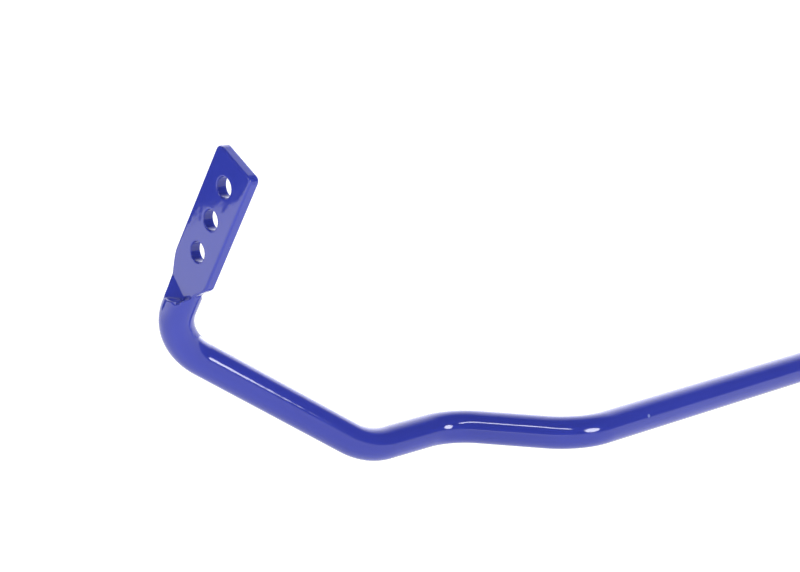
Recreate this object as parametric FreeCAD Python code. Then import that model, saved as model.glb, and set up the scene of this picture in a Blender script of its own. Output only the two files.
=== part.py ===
import FreeCAD, Part
import math
import os

# A solid sway bar for a car: one round steel bar, cold bent, with each end forged into a flat
# blade that has three bolt holes in a row. It turns in two split bushes, each held down by a
# pressed saddle bracket, and two clamp collars stop it from sliding sideways.
# Millimetres. X runs along the centre straight, +Z is up, and the origin is the middle of the
# four bracket bolt holes, in the plane that the brackets bolt down on.

# --- bar ---------------------------------------------------------------------------------
BAR_DIAMETER = 22.0
AXIS_HEIGHT = 22.0          # roll axis above the mounting plane
HALF_CENTRE = 380.0         # middle of the bar to the corner of its first bend
JOG_OUT = 48.5              # sideways step of the bar, along X and along Y
JOG_SIDE = 74.5
SHORT_OUT = 72.5            # short straight, parallel to the centre straight
ARM_OUT = 121.5             # rising arm, along X, Y and Z
ARM_SIDE = 49.5
ARM_RISE = 85.0
BEND_RADII = (43.0, 38.0, 46.0, 37.0)   # centre-line radii, from the middle outwards

# --- forged blade, measured along its own axis from the corner of the last bend ---------------
BLADE_LEAN = math.radians(32.0)         # from vertical, back over the centre straight
BLADE_TIP = 142.0
BLADE_WIDTH = 35.0
BLADE_THICK = 7.4
SHOULDER_START = 30.0       # the bar is still round here
SHOULDER_STEPS = 12
THINNING_END = 47.0         # down to the blade's thickness from here on
WIDENING_START = 35.0
SHOULDER_END = 62.0         # out to the blade's width from here on
FLAT_ANGLE = math.radians(3)            # part of a round section that matches a flat
BLADE_CORNER = 1.5          # rounding of the blade's long edges
HOLE_MIDDLE = 97.5
HOLE_PITCH = 25.0
HOLE_RADIUS = 6.5
HOLE_RIM = 0.8              # rounding at the mouth of each hole
TIP_CORNER = 4.0            # rounding of the two corners at the tip

# --- bushes and brackets -----------------------------------------------------------------
BRACKET_X = 95.0            # middle of each bracket
BRACKET_WIDTH = 24.0
BRACKET_PLATE = 3.0
SADDLE_RADIUS = 18.0        # inside of the saddle, and outside of the bush that it holds
FOOT_BEND = 3.0             # inside radius of the bend from saddle to foot
FOOT_REACH = 47.0           # middle of the bar to the end of a foot
FOOT_CORNER = 6.0
BOLT_SPACING = 70.0
BOLT_HOLE_RADIUS = 5.25
BUSH_WIDTH = 34.0
BUSH_BORE_CLEARANCE = 0.06
BUSH_LIP = 2.5              # how far the lips stand out past the saddle
BUSH_LIP_GAP = 0.2          # play of the bracket between the lips
BUSH_LIP_RIM = 0.8
BUSH_SLIT = 0.6

# --- clamp collars -----------------------------------------------------------------------
COLLAR_RADIUS = 19.0
COLLAR_WIDTH = 12.0
COLLAR_BUSH_GAP = 0.6
COLLAR_SPLIT = 1.2
COLLAR_BORE_CLEARANCE = 0.03
COLLAR_RIM = 0.6
SCREW_OFFSET = 15.0
SCREW_RADIUS = 2.0
SCREW_HEAD_RADIUS = 3.5
SCREW_HEAD_HEIGHT = 4.0
SCREW_SEAT = 5.0            # underside of the head above the split
SCREW_LENGTH = 13.0
SCREW_RIM = 0.5
SCREW_SOCKET = 3.0          # across the flats of the hexagonal socket
SCREW_SOCKET_DEPTH = 2.0
SCREW_CLEARANCE = 0.05
HEAD_CLEARANCE = 0.3

TOUCHING = 1e-4             # two places this close count as the same

BAR_RADIUS = BAR_DIAMETER / 2
COLLAR_X = BRACKET_X - BUSH_WIDTH / 2 - COLLAR_BUSH_GAP - COLLAR_WIDTH / 2
X_AXIS = FreeCAD.Vector(1, 0, 0)
Y_AXIS = FreeCAD.Vector(0, 1, 0)
Z_AXIS = FreeCAD.Vector(0, 0, 1)
BLADE_UP = FreeCAD.Vector(0, -math.sin(BLADE_LEAN), math.cos(BLADE_LEAN))
BLADE_ACROSS = X_AXIS.cross(BLADE_UP)


def vec(x, y, z):
    return FreeCAD.Vector(x, y, z)


def mirrored(shape):
    """The same piece at the other end of the bar."""
    return shape.mirror(vec(0, 0, 0), X_AXIS)


def bar_corners():
    """Corners of the right-hand half's centre line, from the middle to the last bend."""
    first = vec(HALF_CENTRE, 0, AXIS_HEIGHT)
    second = first + vec(JOG_OUT, JOG_SIDE, 0)
    third = second + vec(SHORT_OUT, 0, 0)
    last = third + vec(ARM_OUT, ARM_SIDE, ARM_RISE)
    return [first, second, third, last]


BLADE_ROOT = bar_corners()[-1]


def blade_point(along, across=0.0, out=0.0):
    """A point on the right-hand blade: up its axis, across its width, out through its face."""
    return BLADE_ROOT + BLADE_UP * along + BLADE_ACROSS * across + X_AXIS * out


def bend(before, corner, after, radius):
    """Start, middle and end of the circular bend at one corner of the centre line."""
    back = (before - corner).normalize()
    on = (after - corner).normalize()
    half = math.acos(back.dot(on)) / 2
    reach = radius / math.tan(half)
    middle = (back + on).normalize() * (radius / math.sin(half) - radius)
    return corner + back * reach, corner + middle, corner + on * reach


def centre_line():
    """Straights and bends of the right-hand half, from the middle to the foot of the blade."""
    corners = bar_corners()
    points = [vec(0, 0, AXIS_HEIGHT)] + corners + [blade_point(SHOULDER_START)]
    edges = []
    here = points[0]
    for before, corner, after, radius in zip(points, corners, points[2:], BEND_RADII):
        start, middle, end = bend(before, corner, after, radius)
        edges.append(Part.makeLine(here, start))
        edges.append(Part.Arc(start, middle, end).toShape())
        here = end
    edges.append(Part.makeLine(here, points[-1]))
    return Part.Wire(edges)


def round_bar():
    profile = Part.Wire([Part.makeCircle(BAR_RADIUS, vec(0, 0, AXIS_HEIGHT), X_AXIS)])
    return centre_line().makePipeShell([profile], True, False)


def cross_section(along, half_width, half_thick, corner):
    """Rounded rectangle across the blade axis, or a circle if the corners take up all of it.

    It always has eight edges, so that a loft joins like with like.
    """
    trim = FLAT_ANGLE if corner >= half_thick else 0.0
    arcs = []
    for quarter, (side, face) in enumerate(((1, 1), (-1, 1), (-1, -1), (1, -1))):
        first = quarter * math.pi / 2 + trim
        last = (quarter + 1) * math.pi / 2 - trim
        arcs.append([
            blade_point(along,
                        side * (half_width - corner) + corner * math.cos(angle),
                        face * (half_thick - corner) + corner * math.sin(angle))
            for angle in (first, (first + last) / 2, last)])
    crowns = [blade_point(along, across, out) for across, out in
              ((0, half_thick), (-half_width, 0), (0, -half_thick), (half_width, 0))]
    edges = []
    for arc, crown, following in zip(arcs, crowns, arcs[1:] + arcs[:1]):
        edges.append(Part.Arc(*arc).toShape())
        if trim:
            edges.append(Part.Arc(arc[-1], crown, following[0]).toShape())
        else:
            edges.append(Part.makeLine(arc[-1], following[0]))
    return Part.Wire(edges)


def eased(along, start, end):
    """Runs from 0 at start to 1 at end, with no kink at either."""
    fraction = min(1.0, max(0.0, (along - start) / (end - start)))
    return fraction * fraction * (3 - 2 * fraction)


def shoulder():
    """Where the forging dies turned the round bar into the flat blade."""
    sections = []
    for step in range(SHOULDER_STEPS + 1):
        along = SHOULDER_START + (SHOULDER_END - SHOULDER_START) * step / SHOULDER_STEPS
        widened = eased(along, WIDENING_START, SHOULDER_END)
        thinned = eased(along, SHOULDER_START, THINNING_END)
        half_width = BAR_RADIUS + (BLADE_WIDTH / 2 - BAR_RADIUS) * widened
        half_thick = BAR_RADIUS + (BLADE_THICK / 2 - BAR_RADIUS) * thinned
        corner = BAR_RADIUS + (BLADE_CORNER - BAR_RADIUS) * thinned
        sections.append(cross_section(along, half_width, half_thick, corner))
    return Part.makeLoft(sections, True, False)


def flat_blade():
    """The blade beyond the shoulder, with its outline rounded at the tip and all round its rim."""
    low = SHOULDER_END - TIP_CORNER
    side = BLADE_WIDTH / 2
    inner = side - TIP_CORNER
    high = BLADE_TIP - TIP_CORNER
    diagonal = TIP_CORNER / math.sqrt(2)

    def at(along, across):
        return blade_point(along, across, -BLADE_THICK / 2)

    edges = [Part.makeLine(at(low, -side), at(low, side)),
             Part.makeLine(at(low, side), at(high, side)),
             Part.Arc(at(high, side), at(high + diagonal, inner + diagonal),
                      at(BLADE_TIP, inner)).toShape(),
             Part.makeLine(at(BLADE_TIP, inner), at(BLADE_TIP, -inner)),
             Part.Arc(at(BLADE_TIP, -inner), at(high + diagonal, -inner - diagonal),
                      at(high, -side)).toShape(),
             Part.makeLine(at(high, -side), at(low, -side))]
    plate = Part.Face(Part.Wire(edges)).extrude(X_AXIS * BLADE_THICK)
    rim = [edge for edge in plate.Edges
           if abs(abs(edge.CenterOfMass.x - BLADE_ROOT.x) - BLADE_THICK / 2) < TOUCHING]
    plate = plate.makeFillet(BLADE_CORNER, rim)
    beyond = cross_section(SHOULDER_END, BLADE_WIDTH, BLADE_WIDTH, BLADE_CORNER)
    return plate.common(Part.Face(beyond).extrude(BLADE_UP * BLADE_TIP))


def hole_tool(along):
    """A bolt hole with a rounded mouth on both faces of the blade, as one solid to cut away."""
    half = BLADE_THICK / 2
    rim = HOLE_RIM
    radius = HOLE_RADIUS
    easing = rim * (1 - math.sqrt(0.5))
    outside = half + rim

    def at(across, out):
        return vec(across, 0, out)

    edges = [Part.makeLine(at(0, -outside), at(radius + rim, -outside)),
             Part.makeLine(at(radius + rim, -outside), at(radius + rim, -half)),
             Part.Arc(at(radius + rim, -half), at(radius + easing, easing - half),
                      at(radius, rim - half)).toShape(),
             Part.makeLine(at(radius, rim - half), at(radius, half - rim)),
             Part.Arc(at(radius, half - rim), at(radius + easing, half - easing),
                      at(radius + rim, half)).toShape(),
             Part.makeLine(at(radius + rim, half), at(radius + rim, outside)),
             Part.makeLine(at(radius + rim, outside), at(0, outside)),
             Part.makeLine(at(0, outside), at(0, -outside))]
    tool = Part.Face(Part.Wire(edges)).revolve(vec(0, 0, 0), Z_AXIS, 360)
    tool.rotate(vec(0, 0, 0), Y_AXIS, 90)
    tool.translate(blade_point(along))
    return tool


def half_bar():
    """Everything on the right of the middle, before its mirror image is added."""
    half = round_bar().fuse([shoulder(), flat_blade()])
    for place in (-1, 0, 1):
        half = half.cut(hole_tool(HOLE_MIDDLE + place * HOLE_PITCH))
    return half


def sway_bar():
    half = half_bar()
    return half.fuse(mirrored(half)).removeSplitter()


def saddle_line(offset):
    """Half of the bracket's profile in the YZ plane, offset from the middle of its plate."""
    middle_radius = SADDLE_RADIUS + BRACKET_PLATE / 2
    bend_radius = FOOT_BEND + BRACKET_PLATE / 2
    foot = BRACKET_PLATE / 2 + offset
    wall = middle_radius + offset
    bend_y = middle_radius + bend_radius
    bend_z = BRACKET_PLATE / 2 + bend_radius
    inner = bend_radius - offset
    diagonal = inner / math.sqrt(2)
    top = wall / math.sqrt(2)
    return [Part.makeLine(vec(0, FOOT_REACH, foot), vec(0, bend_y, foot)),
            Part.Arc(vec(0, bend_y, foot), vec(0, bend_y - diagonal, bend_z - diagonal),
                     vec(0, wall, bend_z)).toShape(),
            Part.makeLine(vec(0, wall, bend_z), vec(0, wall, AXIS_HEIGHT)),
            Part.Arc(vec(0, wall, AXIS_HEIGHT), vec(0, top, AXIS_HEIGHT + top),
                     vec(0, 0, AXIS_HEIGHT + wall)).toShape()]


def saddle_bracket():
    """Pressed strap over the bush, with a foot and a bolt hole on each side."""
    outside = saddle_line(BRACKET_PLATE / 2)
    inside = saddle_line(-BRACKET_PLATE / 2)
    crown = Part.makeLine(outside[-1].Vertexes[-1].Point, inside[-1].Vertexes[-1].Point)
    end = Part.makeLine(outside[0].Vertexes[0].Point, inside[0].Vertexes[0].Point)
    half = Part.Face(Part.Wire(outside + [crown] + inside[::-1] + [end]))
    strap = half.extrude(X_AXIS * BRACKET_WIDTH)
    strap.translate(X_AXIS * (BRACKET_X - BRACKET_WIDTH / 2))
    corners = [edge for edge in strap.Edges
               if all(abs(vertex.Y - FOOT_REACH) < TOUCHING for vertex in edge.Vertexes)
               and abs(edge.Vertexes[0].X - edge.Vertexes[-1].X) < TOUCHING]
    strap = strap.makeFillet(FOOT_CORNER, corners)
    hole = Part.makeCylinder(BOLT_HOLE_RADIUS, BRACKET_PLATE,
                             vec(BRACKET_X, BOLT_SPACING / 2, 0), Z_AXIS)
    strap = strap.cut(hole)
    return strap.fuse(strap.mirror(vec(0, 0, 0), Y_AXIS)).removeSplitter()


def arch(radius, start, width):
    """D-shaped block: round over the roll axis and flat on the mounting plane."""
    shaft = Part.makeCylinder(radius, width, vec(start, 0, AXIS_HEIGHT), X_AXIS)
    leg = Part.makeBox(width, 2 * radius, AXIS_HEIGHT, vec(start, -radius, 0))
    return shaft.fuse(leg).removeSplitter()


def bush():
    """Split bush with a lip at each end, outside the bracket."""
    lip_width = (BUSH_WIDTH - BRACKET_WIDTH) / 2 - BUSH_LIP_GAP
    inner_start = BRACKET_X - BUSH_WIDTH / 2
    outer_start = BRACKET_X + BUSH_WIDTH / 2 - lip_width
    body = arch(SADDLE_RADIUS, inner_start, BUSH_WIDTH)
    for start in (inner_start, outer_start):
        lip = arch(SADDLE_RADIUS + BUSH_LIP, start, lip_width)
        rims = [edge for edge in lip.Edges
                if abs(edge.BoundBox.XLength) < TOUCHING < edge.BoundBox.ZMax]
        body = body.fuse(lip.makeFillet(BUSH_LIP_RIM, rims))
    bore = Part.makeCylinder(BAR_RADIUS + BUSH_BORE_CLEARANCE, BUSH_WIDTH,
                             vec(inner_start, 0, AXIS_HEIGHT), X_AXIS)
    slit = Part.makeBox(BUSH_WIDTH, 2 * SADDLE_RADIUS, BUSH_SLIT,
                        vec(inner_start, -2 * SADDLE_RADIUS, AXIS_HEIGHT - BUSH_SLIT / 2))
    return body.removeSplitter().cut(bore).cut(slit)


def collar_ring():
    """The whole collar before it is parted, with the pockets for its screw heads."""
    start = vec(COLLAR_X - COLLAR_WIDTH / 2, 0, AXIS_HEIGHT)
    ring = Part.makeCylinder(COLLAR_RADIUS, COLLAR_WIDTH, start, X_AXIS)
    ring = ring.makeFillet(COLLAR_RIM, [edge for edge in ring.Edges if len(edge.Vertexes) == 1])
    bore = Part.makeCylinder(BAR_RADIUS + COLLAR_BORE_CLEARANCE, COLLAR_WIDTH, start, X_AXIS)
    ring = ring.cut(bore)
    for side in (-1, 1):
        seat = vec(COLLAR_X, side * SCREW_OFFSET, AXIS_HEIGHT + SCREW_SEAT)
        tip = seat - Z_AXIS * SCREW_LENGTH
        pocket = Part.makeCylinder(SCREW_HEAD_RADIUS + HEAD_CLEARANCE, COLLAR_RADIUS, seat, Z_AXIS)
        hole = Part.makeCylinder(SCREW_RADIUS + SCREW_CLEARANCE, SCREW_LENGTH, tip, Z_AXIS)
        ring = ring.cut(pocket).cut(hole)
    return ring


def collar_half(side):
    """Upper half for side 1, lower half for side -1, with the gap between them."""
    low = AXIS_HEIGHT + (COLLAR_SPLIT / 2 if side > 0 else -COLLAR_SPLIT / 2 - COLLAR_RADIUS)
    keep = Part.makeBox(COLLAR_WIDTH, 2 * COLLAR_RADIUS, COLLAR_RADIUS,
                        vec(COLLAR_X - COLLAR_WIDTH / 2, -COLLAR_RADIUS, low))
    return collar_ring().common(keep)


def socket_screw(side):
    """Cap screw with a hexagonal socket, head up."""
    seat = vec(COLLAR_X, side * SCREW_OFFSET, AXIS_HEIGHT + SCREW_SEAT)
    head = Part.makeCylinder(SCREW_HEAD_RADIUS, SCREW_HEAD_HEIGHT, seat, Z_AXIS)
    head = head.makeChamfer(SCREW_RIM, [head.Edges[0]])
    shank = Part.makeCylinder(SCREW_RADIUS, SCREW_LENGTH, seat - Z_AXIS * SCREW_LENGTH, Z_AXIS)
    floor = seat + Z_AXIS * (SCREW_HEAD_HEIGHT - SCREW_SOCKET_DEPTH)
    reach = SCREW_SOCKET / math.sqrt(3)
    corners = [floor + vec(reach * math.cos(math.radians(60 * turn)),
                           reach * math.sin(math.radians(60 * turn)), 0) for turn in range(7)]
    socket = Part.Face(Part.makePolygon(corners)).extrude(Z_AXIS * SCREW_HEAD_HEIGHT)
    return head.fuse(shank).removeSplitter().cut(socket)


def collar_screws():
    """All the collar screws, as separate solids in one group."""
    right = [socket_screw(side) for side in (-1, 1)]
    return Part.makeCompound(right + [mirrored(screw) for screw in right])


def all_nodes():
    nodes = {"sway_bar": sway_bar(), "collar_screws": collar_screws()}
    right = {"bush_{}": bush(), "bracket_{}": saddle_bracket(),
             "collar_{}_upper": collar_half(1), "collar_{}_lower": collar_half(-1)}
    for name, shape in right.items():
        nodes[name.format("right")] = shape
        nodes[name.format("left")] = mirrored(shape)
    return nodes


os.makedirs("parts", exist_ok=True)
for node, shape in all_nodes().items():
    shape.exportStep("parts/" + node + ".step")
    print(node, shape.isValid(), len(shape.Solids), round(shape.Volume), shape.BoundBox)
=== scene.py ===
import bmesh
import bpy
import math
from mathutils import Matrix, Vector


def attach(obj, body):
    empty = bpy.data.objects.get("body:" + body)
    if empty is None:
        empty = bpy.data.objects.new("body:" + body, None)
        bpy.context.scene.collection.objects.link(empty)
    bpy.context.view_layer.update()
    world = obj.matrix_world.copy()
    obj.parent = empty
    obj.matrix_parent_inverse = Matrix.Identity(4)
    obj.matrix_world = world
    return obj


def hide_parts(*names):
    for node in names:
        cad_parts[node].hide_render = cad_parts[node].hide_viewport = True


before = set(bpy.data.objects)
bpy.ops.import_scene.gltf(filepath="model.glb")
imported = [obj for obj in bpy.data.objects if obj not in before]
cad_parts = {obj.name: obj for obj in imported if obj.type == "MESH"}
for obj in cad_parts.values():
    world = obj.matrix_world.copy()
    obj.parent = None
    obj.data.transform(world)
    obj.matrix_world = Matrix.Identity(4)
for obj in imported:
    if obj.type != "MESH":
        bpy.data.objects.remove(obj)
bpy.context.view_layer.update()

MM = 0.001

# --- the bar, in millimetres, right-hand half; the other half is its mirror image --------------
BAR_RADIUS = 11.0
AXIS_HEIGHT = 22.0
BAR_CORNERS = [Vector((380.0, 0.0, AXIS_HEIGHT)), Vector((428.5, 74.5, AXIS_HEIGHT)),
               Vector((501.0, 74.5, AXIS_HEIGHT)), Vector((622.5, 124.0, AXIS_HEIGHT + 85.0))]
BEND_RADII = (43.0, 38.0, 46.0, 37.0)
STRAIGHT_STEP = 4.0         # spacing of the cross-sections along straights and round bends
BEND_STEP = 1.5
WELD = 0.01                 # vertices closer than this become one

# --- forged blade, along its own axis from the corner of the last bend -------------------------
BLADE_LEAN = math.radians(32.0)
BLADE_UP = Vector((0.0, -math.sin(BLADE_LEAN), math.cos(BLADE_LEAN)))
BLADE_OUT = Vector((1.0, 0.0, 0.0))
BLADE_ACROSS = BLADE_OUT.cross(BLADE_UP)
BLADE_ROOT = BAR_CORNERS[-1]
BLADE_TIP = 142.0
BLADE_WIDTH = 35.0
BLADE_THICK = 7.4
BLADE_CORNER = 1.5          # rounding of the long edges and of the rim at the tip
SHARPEST_CORNER = 0.15
TIP_CORNER = 4.0            # rounding of the blade's outline at the tip
SHOULDER_START = 28.0       # the bar is still round here
FLAT_FOOT = (38.0, 4.6)     # lowest point of the flat, along and across the blade
FLAT_FRONT_SLANT = 0.9      # from there the flat's edge climbs towards both sides of the blade
FLAT_BACK_SLANT = 0.34
FACET_SLOPE = 0.5           # behind that point a facet rises from the flat's edge
STEP_BACK_SLANT = 0.58      # as far as a steep step up to the round bar
STEP_SLOPE = 6.0
CREASE = 0.6                # how softly the facet and the step meet the round bar
FLATTENING = (-4.0, 1.2)    # the section goes from round to flat between these, about that edge
FRONT_WIDENING = (44.5, 58.0)
BACK_WIDENING = (35.0, 62.0)
SHOULDER_END = 62.0
SHOULDER_STEP = 0.25        # spacing of the cross-sections in the shoulder
FLAT_RINGS, TIP_RINGS = 50, 16

# --- bolt holes --------------------------------------------------------------------------------
HOLES = (72.5, 97.5, 122.5)     # along the blade
HOLE_RADIUS = 6.5
HOLE_RIM = 0.8                  # rounding at both mouths
RIM_STEPS = 6
HOLE_SIDES = 64

# Steps round a cross-section: a rounded corner, a wide face and a narrow side. On the round bar a
# face and a side curve too, through these turns from their middle to either corner.
ARC_STEPS, FACE_STEPS, SIDE_STEPS = 8, 14, 6
FACE_TURN = math.radians(28.0)
SIDE_TURN = math.radians(14.0)


def eased(value, start, end):
    """Runs from 0 at start to 1 at end, with no kink at either."""
    part = min(1.0, max(0.0, (value - start) / (end - start)))
    return part * part * (3 - 2 * part)


def soft_min(first, second, width):
    """The lower of two values, rounded off where they are nearly equal."""
    near = max(0.0, width - abs(first - second)) / width
    return min(first, second) - near * near * width / 4


def line_points(start, end):
    """Evenly spaced points and their direction, up to but not including the end."""
    steps = max(1, round((end - start).length / STRAIGHT_STEP))
    along = (end - start).normalized()
    return [(start.lerp(end, step / steps), along) for step in range(steps)]


def bend_points(before, corner, after, radius):
    """Points and directions round one bend, and the two ends of it."""
    back = (before - corner).normalized()
    on = (after - corner).normalized()
    half = back.angle(on) / 2
    start = corner + back * (radius / math.tan(half))
    end = corner + on * (radius / math.tan(half))
    centre = corner + (back + on).normalized() * (radius / math.sin(half))
    turn_axis = (start - centre).cross(end - centre).normalized()
    turn = math.pi - 2 * half
    steps = round(radius * turn / BEND_STEP)
    points = []
    for step in range(steps):
        turned = Matrix.Rotation(turn * step / steps, 3, turn_axis)
        points.append((centre + turned @ (start - centre), turned @ -back))
    return start, points, end


def centre_line():
    """Points and directions from the middle of the bar to where the forging starts."""
    last = BLADE_ROOT + BLADE_UP * SHOULDER_START
    corners = [Vector((0.0, 0.0, AXIS_HEIGHT))] + BAR_CORNERS + [last]
    points = []
    here = corners[0]
    for before, corner, after, radius in zip(corners, corners[1:], corners[2:], BEND_RADII):
        start, round_bend, end = bend_points(before, corner, after, radius)
        points += line_points(here, start) + round_bend
        here = end
    return points + line_points(here, last) + [(last, BLADE_UP)]


def section(half_width, half_thick, corner, roundness):
    """(across, out) points round a rounded rectangle, or a circle where roundness is 1."""
    face, side = FACE_TURN * roundness, SIDE_TURN * roundness
    wide, deep = half_width - corner, half_thick - corner
    right = math.pi / 2
    knots = []
    for quarter, (sign_w, sign_t) in enumerate(((1, 1), (-1, 1), (-1, -1), (1, -1))):
        first, last = (side, face) if sign_w == sign_t else (face, side)
        centre = (sign_w * wide, sign_t * deep)
        knots.append((quarter * right + first, centre, ARC_STEPS))
        knots.append(((quarter + 1) * right - last, centre,
                      FACE_STEPS if sign_w == sign_t else SIDE_STEPS))
    knots.append((knots[0][0] + 4 * right, knots[0][1], 0))
    points = []
    for (turn, centre, steps), (next_turn, next_centre, _) in zip(knots, knots[1:]):
        for step in range(steps):
            part = step / steps
            angle = turn + (next_turn - turn) * part
            points.append((centre[0] + (next_centre[0] - centre[0]) * part + corner * math.cos(angle),
                           centre[1] + (next_centre[1] - centre[1]) * part + corner * math.sin(angle)))
    return points


def bar_rings():
    """Cross-sections of the round bar, carried back from the blade without twisting."""
    circle = section(BAR_RADIUS, BAR_RADIUS, BAR_RADIUS, 1.0)
    rings = []
    across, direction = BLADE_ACROSS.copy(), BLADE_UP.copy()
    for point, tangent in reversed(centre_line()):
        across = direction.rotation_difference(tangent) @ across
        direction = tangent
        out = tangent.cross(across)
        rings.append([point + across * w + out * t for w, t in circle])
    return rings[::-1]


def blade_point(along, across, out):
    return BLADE_ROOT + BLADE_UP * along + BLADE_ACROSS * across + BLADE_OUT * out


def rounding(to_tip, radius):
    """How far a corner of this radius draws the surface in, at a distance from the tip."""
    if to_tip >= radius:
        return 0.0
    return radius - math.sqrt(radius ** 2 - (radius - to_tip) ** 2)


def thinning(along, across):
    """0 where the bar is round and 1 where it is flat."""
    ahead = across - FLAT_FOOT[1]
    flat_edge = FLAT_FOOT[0] + max(FLAT_FRONT_SLANT * ahead, -FLAT_BACK_SLANT * ahead)
    return eased(along, flat_edge + FLATTENING[0], flat_edge + FLATTENING[1])


def forged_limit(along, across):
    """How far out the facet and the step at the foot of the blade let the surface stand.

    The flat lies CREASE inside the limit, so that rounding the crease does not thin it.
    """
    ahead = across - FLAT_FOOT[1]
    facet = FACET_SLOPE * max(0.0, FLAT_FOOT[0] - FLAT_BACK_SLANT * ahead - along)
    step_foot = FLAT_FOOT[0] + (FLAT_FRONT_SLANT if ahead > 0 else STEP_BACK_SLANT) * ahead
    return BLADE_THICK / 2 + CREASE + facet + STEP_SLOPE * max(0.0, step_foot - along)


def blade_section(width, rim, thinned):
    """A section that has gone this share of the way from round to flat, drawn in by the rim."""
    half_thick = BAR_RADIUS + (BLADE_THICK / 2 - BAR_RADIUS) * thinned - rim
    corner = BAR_RADIUS + (BLADE_CORNER - BAR_RADIUS) * thinned - rim
    return section(width / 2, half_thick, max(corner, SHARPEST_CORNER), 1.0 - thinned)


def blade_ring(along):
    """One cross-section of the blade; its front edge is the one at positive across.

    The flat's edge is slanted, so each point is thinned by its own place across the blade.
    """
    inset = rounding(BLADE_TIP - along, TIP_CORNER)
    rim = rounding(BLADE_TIP - along, BLADE_CORNER)
    wider = BLADE_WIDTH / 2 - BAR_RADIUS
    front = BAR_RADIUS + wider * eased(along, *FRONT_WIDENING) - inset - rim
    back = BAR_RADIUS + wider * eased(along, *BACK_WIDENING) - inset - rim

    ring = []
    for index, (middling, _) in enumerate(blade_section(front + back, rim, thinning(along, 0.0))):
        across, out = blade_section(front + back, rim, thinning(along, middling))[index]
        out = math.copysign(soft_min(abs(out), forged_limit(along, across), CREASE), out)
        ring.append(blade_point(along, across + (front - back) / 2, out))
    return ring


def blade_rings():
    """Cross-sections from the end of the round bar to the tip, closer where the shape changes."""
    steps = round((SHOULDER_END - SHOULDER_START) / SHOULDER_STEP)
    places = [SHOULDER_START + SHOULDER_STEP * step for step in range(1, steps)]
    flat = BLADE_TIP - TIP_CORNER - SHOULDER_END
    places += [SHOULDER_END + flat * step / FLAT_RINGS for step in range(FLAT_RINGS)]
    places += [BLADE_TIP - TIP_CORNER * (1 - math.sin(math.pi / 2 * step / TIP_RINGS))
               for step in range(TIP_RINGS + 1)]
    return [blade_ring(along) for along in places]


def join_rings(mesh, rows):
    """Faces between rings of vertices that follow one another."""
    for row, following in zip(rows, rows[1:]):
        for index in range(len(row)):
            after = (index + 1) % len(row)
            mesh.faces.new((row[index], row[after], following[after], following[index]))


def skin(rings):
    """A bmesh over the rings, open at the first and closed at the last."""
    mesh = bmesh.new()
    rows = [[mesh.verts.new(point * MM) for point in ring] for ring in rings]
    join_rings(mesh, rows)
    mesh.faces.new(rows[-1])
    return mesh


def add_object(name, mesh):
    """Turns a bmesh into a smooth-shaded object."""
    data = bpy.data.meshes.new(name)
    mesh.to_mesh(data)
    mesh.free()
    data.shade_smooth()
    made = bpy.data.objects.new(name, data)
    bpy.context.scene.collection.objects.link(made)
    return made


def hole_profile():
    """(radius, out) points from one face of the blade to the other, flared at both."""
    half = BLADE_THICK / 2
    profile = [(HOLE_RADIUS + HOLE_RIM, -half - HOLE_RIM)]
    for step in range(RIM_STEPS + 1):
        angle = math.pi / 2 * step / RIM_STEPS
        profile.append((HOLE_RADIUS + HOLE_RIM * (1 - math.sin(angle)),
                        -half + HOLE_RIM * (1 - math.cos(angle))))
    return profile + [(radius, -out) for radius, out in reversed(profile)]


def add_hole(cutter, side, along):
    """Adds the solid of one hole; side is -1 for the left-hand blade and 1 for the right-hand."""
    middle = BLADE_ROOT + BLADE_UP * along
    rows = []
    for radius, out in hole_profile():
        row = []
        for step in range(HOLE_SIDES):
            angle = 2 * math.pi * step / HOLE_SIDES
            point = (middle + BLADE_UP * (radius * math.cos(angle))
                     + BLADE_ACROSS * (radius * math.sin(angle)) + BLADE_OUT * out)
            row.append(cutter.verts.new((side * point.x * MM, point.y * MM, point.z * MM)))
        rows.append(row)
    join_rings(cutter, rows)
    cutter.faces.new(rows[0])
    cutter.faces.new(rows[-1])


def hole_cutter():
    """The solids of all the bolt holes, as one object to cut away."""
    cutter = bmesh.new()
    for side in (-1, 1):
        for along in HOLES:
            add_hole(cutter, side, along)
    bmesh.ops.recalc_face_normals(cutter, faces=cutter.faces)
    return add_object("hole_cutter", cutter)


def bake_modifiers(obj):
    """Replaces an object's mesh by what its modifiers make of it."""
    shape = bpy.data.meshes.new_from_object(
        obj.evaluated_get(bpy.context.evaluated_depsgraph_get()))
    obj.modifiers.clear()
    obj.data = shape


def add_mirror_half(mesh):
    """Copies the right-hand half across to the left and welds the two in the middle."""
    half = mesh.verts[:] + mesh.edges[:] + mesh.faces[:]
    for element in bmesh.ops.duplicate(mesh, geom=half)["geom"]:
        if isinstance(element, bmesh.types.BMVert):
            element.co.x = -element.co.x
    bmesh.ops.remove_doubles(mesh, verts=mesh.verts, dist=WELD * MM)
    bmesh.ops.recalc_face_normals(mesh, faces=mesh.faces)


def cut_holes(bar):
    cutter = hole_cutter()
    cut = bar.modifiers.new("holes", "BOOLEAN")
    cut.object = cutter
    cut.solver = "EXACT"
    bake_modifiers(bar)
    bpy.data.objects.remove(cutter)


def build_bar():
    mesh = skin(bar_rings() + blade_rings())
    add_mirror_half(mesh)
    bar = add_object("bar_skin", mesh)
    cut_holes(bar)
    bar.data.shade_smooth()
    normals = bar.modifiers.new("normals", "WEIGHTED_NORMAL")
    normals.keep_sharp = True
    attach(bar, "bar")
    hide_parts("sway_bar")
    return bar


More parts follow.
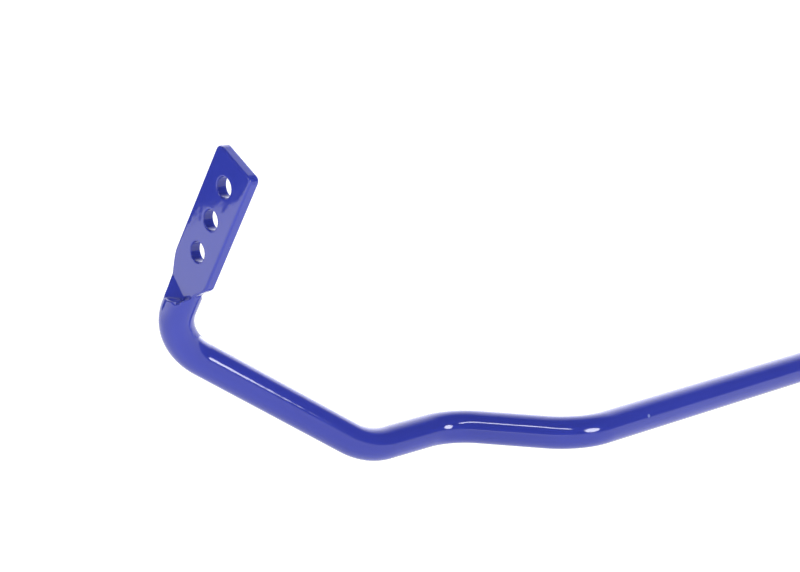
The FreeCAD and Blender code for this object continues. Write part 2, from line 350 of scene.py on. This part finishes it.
# --- materials ---------------------------------------------------------------------------------
def map_range(tree, value, from_range, to_range, kind="LINEAR"):
    """A node that turns a value in one range into one in another."""
    node = tree.nodes.new("ShaderNodeMapRange")
    node.interpolation_type = kind
    for name, number in zip(("From Min", "From Max", "To Min", "To Max"), (*from_range, *to_range)):
        node.inputs[name].default_value = number
    tree.links.new(value, node.inputs["Value"])
    return node.outputs["Result"]


class Surface:
    """A node material built up from one principled shader."""

    def __init__(self, name, metallic=0.0):
        self.material = bpy.data.materials.new(name)
        self.material.use_nodes = True
        self.tree = self.material.node_tree
        self.shader = self.tree.nodes["Principled BSDF"]
        self.shader.inputs["Metallic"].default_value = metallic
        self.place = self.tree.nodes.new("ShaderNodeTexCoord").outputs["Object"]

    def link(self, source, target):
        self.tree.links.new(source, target)

    def noise(self, scale, detail=2.0, stretch=(1.0, 1.0, 1.0)):
        """Noise in object space; scale is in waves per metre."""
        mapping = self.tree.nodes.new("ShaderNodeMapping")
        mapping.inputs["Scale"].default_value = stretch
        self.link(self.place, mapping.inputs["Vector"])
        noise = self.tree.nodes.new("ShaderNodeTexNoise")
        noise.inputs["Scale"].default_value = scale
        noise.inputs["Detail"].default_value = detail
        self.link(mapping.outputs["Vector"], noise.inputs["Vector"])
        return noise.outputs["Fac"]

    def tint(self, factor, stops):
        """Colours the surface along a factor; stops is a list of (position, colour)."""
        ramp = self.tree.nodes.new("ShaderNodeValToRGB")
        elements = ramp.color_ramp.elements
        for element, (position, colour) in zip(elements, (stops[0], stops[-1])):
            element.position = position
            element.color = (*colour, 1.0)
        for position, colour in stops[1:-1]:
            elements.new(position).color = (*colour, 1.0)
        self.link(factor, ramp.inputs["Fac"])
        self.link(ramp.outputs["Color"], self.shader.inputs["Base Color"])

    def roughen(self, factor, low, high):
        """Varies the roughness from low where a factor is 0 to high where it is 1."""
        self.link(map_range(self.tree, factor, (0.0, 1.0), (low, high)), self.shader.inputs["Roughness"])

    def spot(self, place, outside, inside):
        """1 nearer to a place than the inside radius, 0 farther than the outside one."""
        away = self.tree.nodes.new("ShaderNodeVectorMath")
        away.operation = "DISTANCE"
        away.inputs[1].default_value = place
        self.link(self.place, away.inputs[0])
        return map_range(self.tree, away.outputs["Value"], (outside, inside), (0.0, 1.0))

    def lay_over(self, factor, colour):
        """Covers the base colour with another where the factor is 1."""
        mix = self.tree.nodes.new("ShaderNodeMix")
        mix.data_type = "RGBA"
        under, over = [socket for socket in mix.inputs if socket.type == "RGBA"]
        over.default_value = colour
        base = self.shader.inputs["Base Color"]
        self.link(base.links[0].from_socket, under)
        self.link(factor, mix.inputs["Factor"])
        self.link([socket for socket in mix.outputs if socket.type == "RGBA"][0], base)

    def bump(self, height, distance):
        """Adds one layer of relief; distance is in metres."""
        bump = self.tree.nodes.new("ShaderNodeBump")
        bump.inputs["Distance"].default_value = distance
        self.link(height, bump.inputs["Height"])
        normal = self.shader.inputs["Normal"]
        if normal.links:
            self.link(normal.links[0].from_socket, bump.inputs["Normal"])
        self.link(bump.outputs["Normal"], normal)


CHIP_PLACE = Vector((-323.4, -10.5, 25.2)) * MM     # a small pale chip in the coat
CHIP_OUTSIDE, CHIP_INSIDE = 1.6 * MM, 0.6 * MM
CHIP_DEPTH = 0.15 * MM
CHIP_COLOUR = (0.19, 0.24, 0.55, 1.0)


def powder_coat():
    """Gloss blue powder coat, slightly cloudy, with orange peel and one chip."""
    coat = Surface("powder_coat_blue")
    coat.tint(coat.noise(9.0, detail=3.0),
              [(0.3, (0.022, 0.032, 0.285)), (0.7, (0.026, 0.038, 0.32))])
    coat.roughen(coat.noise(160.0), 0.04, 0.08)
    chip = coat.spot(CHIP_PLACE, CHIP_OUTSIDE, CHIP_INSIDE)
    coat.lay_over(chip, CHIP_COLOUR)
    coat.bump(coat.noise(140.0, detail=1.0), 0.05 * MM)
    coat.bump(coat.noise(420.0), 0.006 * MM)
    coat.bump(chip, -CHIP_DEPTH)
    return coat.material


def polyurethane():
    rubber = Surface("polyurethane_black")
    rubber.tint(rubber.noise(60.0), [(0.3, (0.012, 0.012, 0.013)), (0.7, (0.022, 0.022, 0.024))])
    rubber.roughen(rubber.noise(300.0), 0.38, 0.55)
    rubber.bump(rubber.noise(900.0, detail=3.0), 0.03 * MM)
    return rubber.material


def zinc_plate():
    zinc = Surface("zinc_plated_steel", metallic=1.0)
    zinc.tint(zinc.noise(120.0, detail=4.0),
              [(0.3, (0.24, 0.25, 0.27)), (0.55, (0.33, 0.33, 0.33)), (0.8, (0.29, 0.28, 0.25))])
    zinc.roughen(zinc.noise(260.0, detail=3.0), 0.28, 0.46)
    zinc.bump(zinc.noise(700.0, detail=3.0), 0.02 * MM)
    return zinc.material


def collar_alloy():
    """Turned aluminium: fine lathe lines round the bar's axis."""
    alloy = Surface("turned_aluminium", metallic=1.0)
    lines = alloy.noise(60.0, stretch=(60.0, 1.0, 1.0))
    alloy.tint(lines, [(0.2, (0.30, 0.31, 0.33)), (0.8, (0.38, 0.39, 0.41))])
    alloy.roughen(lines, 0.24, 0.4)
    alloy.bump(lines, 0.01 * MM)
    return alloy.material


def black_oxide():
    oxide = Surface("black_oxide_steel", metallic=0.8)
    oxide.tint(oxide.noise(500.0), [(0.3, (0.03, 0.03, 0.032)), (0.7, (0.05, 0.05, 0.054))])
    oxide.roughen(oxide.noise(900.0), 0.3, 0.5)
    oxide.bump(oxide.noise(1500.0), 0.01 * MM)
    return oxide.material


def dress(obj, material):
    obj.data.materials.clear()
    obj.data.materials.append(material)


def dress_frame():
    """Gives every CAD node that still shows its material."""
    finishes = {"bush": polyurethane(), "bracket": zinc_plate(), "collar": collar_alloy()}
    for name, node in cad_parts.items():
        if name not in ("sway_bar", "collar_screws"):
            dress(node, finishes[name.split("_")[0]])
    dress(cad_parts["collar_screws"], black_oxide())


# --- studio, in metres, with the camera's place and lens in millimetres ------------------------
CAMERA_PITCH = math.radians(13.57)
CAMERA_HEADING = math.radians(43.0)         # from +Y towards +X
CAMERA_LENS = 93.3
CAMERA_TO_BEND = (118.54, 97.58, 1362.35)   # the left-hand first bend: right, below and ahead

FLOOR_REACH = 20.0
FLOOR_HEIGHT = -0.03                        # below the bar's offset arms when the bar rolls
FLOOR_GLOW, FLOOR_LEFT_GLOW = 1.0, 1.9      # the table glows brighter on the left
FLOOR_BRIGHTENS = (-0.78, -0.95)            # and goes from one to the other between these X
FLAG_CORNER = (-0.8, 0.69)                  # the nearest corner of a black sheet, behind on the left
FLAG_TURN = math.radians(19.0)
FLAG_SIZE = 8.0
FLAG_HEIGHT = 0.001

# The light from a direction follows from how far that direction points along a light's own. The
# two numbers of an edge, a side or an end are where the light is out and where it is full.
TO_RIGHT, TO_BACK = (1.0, 0.0, 0.0), (0.0, 1.0, 0.0)
DARK_ROOM = 0.15                            # from everywhere
BACKDROP = 1.0                              # what the camera sees past the floor is at least white
BROAD_LIGHT = (0.5, 0.9, 0.0)
BROAD_EDGE = (0.22, 0.82)
BROAD_POWER = 3.4
BROAD_LEFT_END = (-0.35, 0.0)
RIGHT_EDGE = (0.76, 0.9)
RIGHT_POWER = 2.0
RIGHT_NEAR_END = (-0.4, 0.05)
TUBE_ASIDE = (0.697, 0.267, 0.665)          # across the tube
TUBE_MIDDLE = (-0.62, -0.238, 0.747)
TUBE_POWER = 16.0
TUBE_SIDES = (0.065, 0.035)
TUBE_ENDS = (0.8, 0.86)
TUBE_BACK_END = (0.25, 0.1)
LAMP = (0.102, -0.944, 0.313)
LAMP_EDGE = (0.975, 0.985)
LAMP_POWER = 16.0


def camera_axes():
    forward = Vector((math.cos(CAMERA_PITCH) * math.sin(CAMERA_HEADING),
                      math.cos(CAMERA_PITCH) * math.cos(CAMERA_HEADING), -math.sin(CAMERA_PITCH)))
    right = Vector((math.cos(CAMERA_HEADING), -math.sin(CAMERA_HEADING), 0.0))
    return right, forward.cross(right), forward


def add_camera():
    right, down, forward = camera_axes()
    bend = Vector((-BAR_CORNERS[0].x, BAR_CORNERS[0].y, BAR_CORNERS[0].z))
    aside, below, ahead = CAMERA_TO_BEND
    place = (bend - right * aside - down * below - forward * ahead) * MM
    data = bpy.data.cameras.new("camera")
    data.lens = CAMERA_LENS
    camera = bpy.data.objects.new("camera", data)
    camera.matrix_world = Matrix.Translation(place) @ Matrix(
        (right, -down, -forward)).transposed().to_4x4()
    bpy.context.scene.collection.objects.link(camera)
    bpy.context.scene.camera = camera


def add_sheet(name, corners, height):
    """A flat sheet facing up, for the studio and not part of the object."""
    mesh = bmesh.new()
    mesh.faces.new([mesh.verts.new((x, y, height)) for x, y in corners])
    sheet = add_object(name, mesh)
    return sheet


def add_floor():
    """A glowing white table, so bright that shadows on it wash out."""
    floor = add_sheet("floor", [(x * FLOOR_REACH, y * FLOOR_REACH)
                                for x, y in ((-1, -1), (1, -1), (1, 1), (-1, 1))], FLOOR_HEIGHT)
    paper = Surface("white_paper")
    paper.tint(paper.noise(3.0), [(0.3, (0.18, 0.18, 0.18)), (0.7, (0.22, 0.22, 0.22))])
    paper.shader.inputs["Roughness"].default_value = 0.9
    paper.shader.inputs["Emission Color"].default_value = (1.0, 1.0, 1.0, 1.0)
    place = paper.tree.nodes.new("ShaderNodeSeparateXYZ")
    paper.link(paper.place, place.inputs["Vector"])
    glow = map_range(paper.tree, place.outputs["X"], FLOOR_BRIGHTENS, (FLOOR_GLOW, FLOOR_LEFT_GLOW))
    paper.link(glow, paper.shader.inputs["Emission Strength"])
    dress(floor, paper.material)


def add_flag():
    """A black sheet that only reflections see: its edge crosses the left-hand blade."""
    corner = Vector(FLAG_CORNER)
    along = Vector((-math.cos(FLAG_TURN), math.sin(FLAG_TURN))) * FLAG_SIZE
    back = Vector((0.0, FLAG_SIZE))
    flag = add_sheet("flag", (corner, corner + back, corner + back + along, corner + along), FLAG_HEIGHT)
    flag.visible_camera = False
    flag.visible_diffuse = False
    flag.visible_shadow = False
    velvet = Surface("black_velvet")
    velvet.tint(velvet.noise(40.0), [(0.3, (0.002, 0.002, 0.002)), (0.7, (0.003, 0.003, 0.003))])
    velvet.shader.inputs["Roughness"].default_value = 1.0
    dress(flag, velvet.material)


class Sky:
    """Studio light as brightness by direction, added up in the world's node tree."""

    def __init__(self):
        world = bpy.data.worlds.new("studio")
        bpy.context.scene.world = world
        world.use_nodes = True
        self.tree = world.node_tree
        self.shader = self.tree.nodes["Background"]
        self.shader.inputs["Color"].default_value = (1.0, 1.0, 1.0, 1.0)
        self.direction = self.tree.nodes.new("ShaderNodeTexCoord").outputs["Generated"]

    def link(self, source, target):
        self.tree.links.new(source, target)

    def towards(self, vector):
        """How far each direction points along a vector."""
        dot = self.tree.nodes.new("ShaderNodeVectorMath")
        dot.operation = "DOT_PRODUCT"
        dot.inputs[1].default_value = vector
        self.link(self.direction, dot.inputs[0])
        return dot.outputs["Value"]

    def step(self, value, edge, power=1.0, kind="SMOOTHSTEP"):
        """Goes from 0 where a value is the first of the edge to power where it is the second."""
        return map_range(self.tree, value, edge, (0.0, power), kind)

    def unsigned(self, value):
        """The size of a value, without its sign."""
        node = self.tree.nodes.new("ShaderNodeMath")
        node.operation = "ABSOLUTE"
        self.link(value, node.inputs[0])
        return node.outputs["Value"]

    def combine(self, operation, *values):
        """A chain of one math operation; a value is a socket or a number."""
        result = values[0]
        for value in values[1:]:
            node = self.tree.nodes.new("ShaderNodeMath")
            node.operation = operation
            for source, target in ((result, node.inputs[0]), (value, node.inputs[1])):
                if isinstance(source, float):
                    target.default_value = source
                else:
                    self.link(source, target)
            result = node.outputs["Value"]
        return result


def broad_light(sky):
    """Broad and soft, behind the bar and to the right."""
    strength = sky.step(sky.towards(BROAD_LIGHT), BROAD_EDGE, power=BROAD_POWER, kind="LINEAR")
    return sky.combine("MULTIPLY", sky.step(sky.towards(TO_RIGHT), BROAD_LEFT_END), strength)


def right_light(sky):
    """Soft, far out on the right."""
    strength = sky.step(sky.towards(TO_RIGHT), RIGHT_EDGE, power=RIGHT_POWER)
    return sky.combine("MULTIPLY", strength, sky.step(sky.towards(TO_BACK), RIGHT_NEAR_END))


def tube_light(sky):
    """A thin tube high up, running from the left to the front of the bar."""
    strength = sky.step(sky.unsigned(sky.towards(TUBE_ASIDE)), TUBE_SIDES, power=TUBE_POWER)
    return sky.combine("MULTIPLY", strength, sky.step(sky.towards(TUBE_MIDDLE), TUBE_ENDS),
                       sky.step(sky.towards(TO_BACK), TUBE_BACK_END))


def lamp_light(sky):
    """Small and round, low down in front of the bar."""
    return sky.step(sky.towards(LAMP), LAMP_EDGE, power=LAMP_POWER)


def add_world():
    """Soft lights on everything; the tube and the lamp show only in reflections."""
    sky = Sky()
    rays = sky.tree.nodes.new("ShaderNodeLightPath")
    mirrored = sky.step(rays.outputs["Is Diffuse Ray"], (1.0, 0.0))
    tube = sky.combine("MULTIPLY", tube_light(sky), mirrored)
    lamp = sky.combine("MULTIPLY", lamp_light(sky), mirrored)
    backdrop = sky.combine("MULTIPLY", rays.outputs["Is Camera Ray"], BACKDROP)
    strength = sky.combine("ADD", broad_light(sky), right_light(sky), tube, lamp, DARK_ROOM, backdrop)
    sky.link(strength, sky.shader.inputs["Strength"])


bar = build_bar()
dress(bar, powder_coat())
dress_frame()
add_floor()
add_flag()
add_world()
add_camera()
bpy.context.scene.view_settings.view_transform = "Standard"
